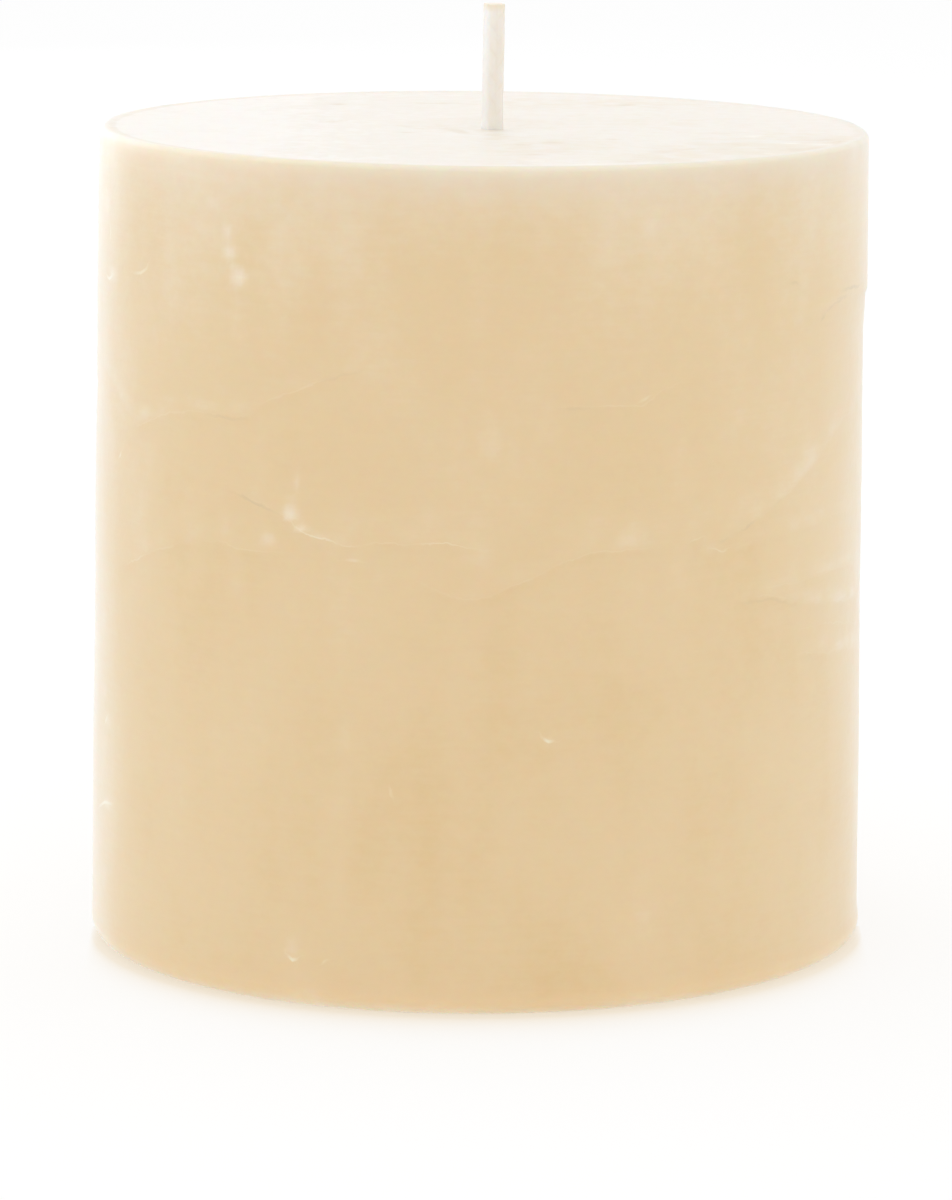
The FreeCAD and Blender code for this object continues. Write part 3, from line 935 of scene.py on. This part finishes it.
# %% [markdown]
# Cast paraffin wax
#
# Wax is cloudy all through. Light goes a few millimetres in and comes out again warmer,
# which softens every edge and makes the rim glow. Red travels furthest, and blue least.
# Where it cooled quickly the wax is paler, which gives upright smears and fine level
# streaks. Handling leaves a dull bloom that catches the light at a grazing view, so the
# sides look nearly white. The wick is bonded to the wax, and the hair-thin gap of the
# model would swallow light there, so none travels beside it.

# %% Wax colours and scales
WAX_DEEP = "#E1C695"
WAX_BODY = "#E6CFA7"
WAX_PALE = "#EBDABD"
WAX_CHIP_AND_HIGHLIGHT = "#F6EEDC"
WAX_RIM_SHADE = "#DBD8CB"
WAX_TOP_DEEP_AND_SHADE = "#D8C5A3"
WAX_TOP_CREAM = "#E0D1B6"
WAX_TOP = "#E6DCCC"
WAX_TOP_PALE = "#EEE7DC"
WAX_SCORE_AND_CREASE_SHADE = "#D2BE9C"
WAX_IOR = 1.44
WAX_ROUGHNESS = 0.36
WAX_LIGHT_TRAVEL_MM = 2.6
STREAK_MM = 0.5
MOTTLE_MM = 1.2

# %% Helpers for the finishes
SMOOTH = {"interpolation_type": "SMOOTHSTEP"}


def stretched_noise(tree, place, size_mm, stretch, detail):
    """Noise of a given size in mm, stretched by a factor for each axis."""
    squeeze = [1 / factor for factor in stretch]
    mapped = add_node(tree, "ShaderNodeMapping", {"Vector": place, "Scale": squeeze})
    return add_node(tree, "ShaderNodeTexNoise", {
        "Vector": mapped, "Scale": per_metre(size_mm), "Detail": detail, "Roughness": 0.6,
    })


def stirred(tree, value, noise_node, spread, amount):
    """A value with noise added, up to the given amount either way."""
    swing = add_node(tree, "ShaderNodeMapRange", {
        "Value": noise_node, "From Min": 0.5 - spread, "From Max": 0.5 + spread,
        "To Min": -amount, "To Max": amount,
    }, **SMOOTH)
    return add_node(tree, "ShaderNodeMath", {0: value, 1: swing}, operation="ADD")


def laid_over(tree, colour, over, value, low, high, most=1.0):
    """A colour with another laid over it where a value rises from low to high."""
    share = add_node(tree, "ShaderNodeMapRange", {
        "Value": value, "From Min": low, "From Max": high, "To Max": most,
    }, **SMOOTH)
    return coated(tree, colour, ((share, over),))


def coated(tree, colour, coats):
    """A colour under coats of others, each with the share of it that shows."""
    for share, over in coats:
        mixed = add_node(tree, "ShaderNodeMix", {0: share, 6: colour, 7: over}, data_type="RGBA")
        colour = mixed.outputs[2]
    return colour


def line_drawn(tree, signed, strength, none, full):
    """How much a line shows, between the distances in mm where it is none and full."""
    distance = add_node(tree, "ShaderNodeMath", {0: signed}, operation="ABSOLUTE")
    share = add_node(tree, "ShaderNodeMapRange", {
        "Value": distance, "From Min": none, "From Max": full,
    }, **SMOOTH)
    return add_node(tree, "ShaderNodeMath", {0: share, 1: strength}, operation="MULTIPLY")


def marks_on_mesh(tree, names):
    """The named numbers that are stored on the mesh."""
    return {name: add_node(tree, "ShaderNodeAttribute", attribute_name=name).outputs["Fac"]
            for name in names}


# %% Wax material: the cast colour
wax_material, tree, wax_output = new_material("cast_paraffin_wax")
place = add_node(tree, "ShaderNodeTexCoord").outputs["Object"]
read = marks_on_mesh(tree, wax_marks)
streak = stretched_noise(tree, place, STREAK_MM, (9, 9, 1), 1.0)
mottle = stretched_noise(tree, place, MOTTLE_MM, (1.3, 1.3, 1), 3.0)
tone = stirred(tree, read["tone"], mottle, 0.25, 0.055)
tone = stirred(tree, tone, streak, 0.2, 0.022)
colour = laid_over(tree, WAX_DEEP, WAX_BODY, tone, 0.0, 0.5)
colour = laid_over(tree, colour, WAX_PALE, tone, 0.45, 0.95)
colour = laid_over(tree, colour, WAX_CHIP_AND_HIGHLIGHT, tone, 0.8, 1.5)

# %% [markdown]
# The lap lines in the shader
#
# Each family of lines gives a distance and a strength. The distance is bent a little by
# fine noise, so that no line is perfectly smooth. Just at the line the skin is thin, and a
# painted highlight is drawn there; in a crease painted shade makes it darker. The pale band
# above a line and the painted shade below it are wide enough to be held by the mesh, in the
# tone.

# %% Wax material: lap lines and scratches
LAP_LINE_MM = (0.11, 0.03)
SCRATCH_LINE_MM = (0.22, 0.05)
CREASE_LINE_MM = (0.2, 0.04)
chips_and_highlights = line_drawn(tree, read["scratch"], read["scratch_strength"], *SCRATCH_LINE_MM)
# The edge of each lap line is a painted highlight.
for family in FRONT_LINES:
    wobbly = stirred(tree, read[family], mottle, 0.2, 0.12)
    edge = line_drawn(tree, wobbly, read[family + "_strength"], *LAP_LINE_MM)
    chips_and_highlights = add_node(tree, "ShaderNodeMath", {0: chips_and_highlights, 1: edge}, operation="MAXIMUM")
# Creases are darkened with painted shade.
wobbly = stirred(tree, read["crease"], mottle, 0.2, 0.12)
crease = line_drawn(tree, wobbly, read["crease_strength"], *CREASE_LINE_MM)
# Painted shade on the rim's round and the foot's edge, and painted light at the rim's left end.
rim_shade = add_node(tree, "ShaderNodeMath", {0: read["rim"], 1: 0.8}, operation="MULTIPLY")
coats = ((chips_and_highlights, WAX_CHIP_AND_HIGHLIGHT), (crease, WAX_SCORE_AND_CREASE_SHADE), (rim_shade, WAX_RIM_SHADE), (read["rim_pale"], WAX_TOP_PALE))
colour = coated(tree, colour, coats)

# %% Wax material: the top
TOP_SCRATCH_LINE_MM = (1.1, 0.3)
TOP_HIGHLIGHT_LINE_MM = (0.9, 0.2)
cream = stirred(tree, read["tone"], mottle, 0.2, 0.15)
# The palest top colour also carries the painted light towards the left.
top_colour = laid_over(tree, WAX_TOP_PALE, WAX_TOP, cream, -0.5, 0.0)
top_colour = laid_over(tree, top_colour, WAX_TOP_CREAM, cream, 0.0, 1.0)
# The deepest tan is painted shade at the wick's foot and along the right of the rim.
top_colour = laid_over(tree, top_colour, WAX_TOP_DEEP_AND_SHADE, cream, 1.1, 2.2)
score_and_shadow = line_drawn(tree, read["scratch"], read["scratch_strength"], *TOP_SCRATCH_LINE_MM)
# Short painted highlights on the top.
ridge_highlight = line_drawn(tree, read["upper_lap"], read["upper_lap_strength"], *TOP_HIGHLIGHT_LINE_MM)
top_colour = coated(tree, top_colour, ((score_and_shadow, WAX_SCORE_AND_CREASE_SHADE), (ridge_highlight, WAX_CHIP_AND_HIGHLIGHT)))
colour = coated(tree, colour, ((read["top_face"], top_colour),))

# %% Wax material: fine relief and light travel
skin = add_node(tree, "ShaderNodeMath", {0: streak, 1: 0.5, 2: mottle}, operation="MULTIPLY_ADD")
bump = add_node(tree, "ShaderNodeBump", {"Height": skin, "Strength": 1.0, "Distance": 0.03 * MM})
roughness = add_node(tree, "ShaderNodeMapRange", {
    "Value": mottle, "From Min": 0.3, "From Max": 0.7,
    "To Min": WAX_ROUGHNESS - 0.04, "To Max": WAX_ROUGHNESS + 0.06,
}, **SMOOTH)
travel_share = add_node(tree, "ShaderNodeMapRange", {
    "Value": read["bonded"], "To Min": 1.0, "To Max": 0.0,
}, **SMOOTH)
wax_surface = add_node(tree, "ShaderNodeBsdfPrincipled", {
    "Base Color": colour,
    "Roughness": roughness,
    "IOR": WAX_IOR,
    "Normal": bump,
    "Subsurface Weight": travel_share,
    "Subsurface Radius": (1.0, 0.6, 0.35),
    "Subsurface Scale": WAX_LIGHT_TRAVEL_MM * MM,
    "Sheen Weight": 0.75,
    "Sheen Roughness": 0.3,
})
tree.links.new(wax_surface.outputs[0], wax_output.inputs["Surface"])
wax.data.materials.append(wax_material)
print("wax material has", len(tree.nodes), "nodes")

# %% [markdown]
# Waxed cotton braid
#
# Cotton is a warm white. Wax between the fibres makes the faces smooth and a little clear,
# and the grooves between strands are darkened with painted shade. The cut tip has taken up
# more wax and is yellower.

# %% Wick material
COTTON = "#F8F3ED"
COTTON_SOAKED_AND_GROOVE_SHADE = "#F2EADE"
COTTON_TIP = "#F1E8D8"
COTTON_PALE_AND_LIT = "#FFFDFA"

wick_material, tree, wick_output = new_material("waxed_cotton_braid")
place = add_node(tree, "ShaderNodeTexCoord").outputs["Object"]
read = marks_on_mesh(tree, wick_marks)
fibre = stretched_noise(tree, place, 0.16, (1, 1, 6), 2.0)
soaked = stretched_noise(tree, place, 1.2, (1, 1, 1.6), 2.0)
colour = laid_over(tree, COTTON, COTTON_SOAKED_AND_GROOVE_SHADE, soaked, 0.35, 0.7, 0.35)
# The grooves between strands are darkened with painted shade.
groove_shade = add_node(tree, "ShaderNodeMath", {0: read["groove_shade"], 1: 0.4}, operation="MULTIPLY")
colour = coated(tree, colour, ((groove_shade, COTTON_SOAKED_AND_GROOVE_SHADE),))
colour = laid_over(tree, colour, COTTON_PALE_AND_LIT, fibre, 0.5, 0.8, 0.2)
# The left face is painted whiter as painted light, and the tip yellower.
colour = coated(tree, colour, ((read["lit_face"], COTTON_PALE_AND_LIT), (read["tip"], COTTON_TIP)))
bump = add_node(tree, "ShaderNodeBump", {"Height": fibre, "Strength": 0.5, "Distance": 0.02 * MM})
wick_surface = add_node(tree, "ShaderNodeBsdfPrincipled", {
    "Base Color": colour,
    "Roughness": 0.55,
    "IOR": WAX_IOR,
    "Normal": bump,
    "Subsurface Weight": 0.6,
    "Subsurface Radius": (1.0, 0.8, 0.6),
    "Subsurface Scale": 0.4 * MM,
})
tree.links.new(wick_surface.outputs[0], wick_output.inputs["Surface"])
wick.data.materials.append(wick_material)
print("wick material has", len(tree.nodes), "nodes")

# %% [markdown]
# White table and light
#
# The candle stands on a white sweep, so bright that it has no horizon. Only the faint warm
# shade at the foot, a painted reflection and shade on the table, tells where the table is.
# The wax gets plain light at about full level from all round, with a large soft lamp
# overhead, so that the colours come out as they are written. Two weaker lamps to the left,
# one of them behind the candle, turn its left edge nearly white, together with a painted
# sheen on the wax. The table has a round hole under the block and can be seen through from
# below, to show the underside.

# %% Table
TABLE_RADIUS = 3.0
HOLE_RADIUS = 0.034
TABLE_WHITE = 0.86
TABLE_GLOW_SHARE = 0.65
TABLE_GLOW = 1.06
SHEEN_MM = 2.2
SHEEN_COLOUR = "#F4E8D5"
TABLE_STEPS = (HOLE_RADIUS, 0.045, 0.07, 0.15, 0.4, TABLE_RADIUS)
TABLE_SIDES = 96

table_material, tree, table_output = new_material("white_table")
place = add_node(tree, "ShaderNodeTexCoord").outputs["Object"]
spot = add_node(tree, "ShaderNodeSeparateXYZ", {0: place})
# The painted warm reflection and shade of the foot fades by half over each SHEEN_MM in front
# of the foot's edge. Each sum gives the name of its result, the operation, and the names or
# numbers that go in.
WARM_SHADE_SUMS = (
    ("beside", "DIVIDE", "x", FOOT_RADIUS * MM),
    ("squared", "MULTIPLY", "beside", "beside"),
    ("inside", "SUBTRACT", 1.0, "squared"),
    ("inside", "MAXIMUM", "inside", 0.0),
    ("chord", "SQRT", "inside"),
    ("foot_edge", "MULTIPLY", "chord", FOOT_RADIUS * MM),
    ("forward", "MULTIPLY", "y", -1.0),
    ("before", "SUBTRACT", "forward", "foot_edge"),
    ("halvings", "DIVIDE", "before", SHEEN_MM * MM),
    ("halvings", "MINIMUM", "halvings", 20.0),
    ("fading", "POWER", 0.5, "halvings"),
    ("fading", "MINIMUM", "fading", 1.0),
    ("in_front", "LESS_THAN", "y", 0.0),
    ("fading", "MULTIPLY", "fading", "in_front"),
)
found = {"x": spot.outputs["X"], "y": spot.outputs["Y"]}
for result, operation, *given in WARM_SHADE_SUMS:
    inputs = {number: found.get(item, item) for number, item in enumerate(given)}
    found[result] = add_node(tree, "ShaderNodeMath", inputs, operation=operation)
at_ends = add_node(tree, "ShaderNodeMapRange", {"Value": found["chord"], "From Max": 0.25}, **SMOOTH)
sheen = add_node(tree, "ShaderNodeMath", {0: at_ends, 1: found["fading"]}, operation="MULTIPLY")
glow_colour = coated(tree, "#FFFFFF", ((sheen, SHEEN_COLOUR),))
matt = add_node(tree, "ShaderNodeBsdfDiffuse", {"Color": (TABLE_WHITE, TABLE_WHITE, TABLE_WHITE, 1.0)})
glow = add_node(tree, "ShaderNodeEmission", {"Color": glow_colour, "Strength": TABLE_GLOW})
lit = add_node(tree, "ShaderNodeMixShader", {0: TABLE_GLOW_SHARE, 1: matt, 2: glow})
clear = add_node(tree, "ShaderNodeBsdfTransparent")
behind = add_node(tree, "ShaderNodeNewGeometry").outputs["Backfacing"]
table_mix = add_node(tree, "ShaderNodeMixShader", {0: behind, 1: lit, 2: clear})
tree.links.new(table_mix.outputs[0], table_output.inputs["Surface"])

table_rings = [circle(radius / MM, 0.0, bearings_of(TABLE_SIDES)) for radius in TABLE_STEPS]
table_faces = [face[::-1] for face in skin_faces([TABLE_SIDES] * len(table_rings))]
table = make_mesh("white_table", np.concatenate(table_rings), table_faces, {})
table.data.materials.append(table_material)

# %% World
WORLD_LEVEL = 0.96
world = bpy.data.worlds.new("white_surround")
world.use_nodes = True
tree = world.node_tree
tree.nodes.clear()
light_path = add_node(tree, "ShaderNodeLightPath")
seen = 0.0
for ray in ("Is Camera Ray", "Is Glossy Ray", "Is Transmission Ray"):
    rays = {0: light_path.outputs[ray], 1: seen}
    seen = add_node(tree, "ShaderNodeMath", rays, operation="ADD", use_clamp=True)
dimmed = {0: seen, 1: 1.0 - WORLD_LEVEL, 2: WORLD_LEVEL}
level = add_node(tree, "ShaderNodeMath", dimmed, operation="MULTIPLY_ADD")
background = add_node(tree, "ShaderNodeBackground", {"Color": "#FFFFFF", "Strength": level})
add_node(tree, "ShaderNodeOutputWorld", {"Surface": background})
bpy.context.scene.world = world

# %% Lamps


def add_lamp(name, place, aim, size, watts):
    """A square soft lamp at a place, aimed at a point, in metres."""
    lamp_data = bpy.data.lights.new(name, "AREA")
    lamp_data.shape = "SQUARE"
    lamp_data.size = size
    lamp_data.energy = watts
    lamp = bpy.data.objects.new(name, lamp_data)
    lamp.location = place
    lamp.rotation_euler = (Vector(aim) - Vector(place)).to_track_quat("-Z", "Y").to_euler()
    bpy.context.scene.collection.objects.link(lamp)
    return lamp


middle = (0.0, 0.0, 0.04)
add_lamp("overhead_lamp", (0.0, 0.05, 0.95), middle, 1.0, 1.2)
add_lamp("left_lamp", (-0.85, 0.4, 0.25), middle, 0.9, 0.5)
add_lamp("rear_left_lamp", (-0.4, 0.86, 0.12), middle, 0.5, 0.85)
bpy.context.scene.view_settings.view_transform = "Standard"

# %% [markdown]
# Finish
#
# The finished meshes are meant to lie inside the box of the imported solids.

# %% Finish
bpy.context.view_layer.update()
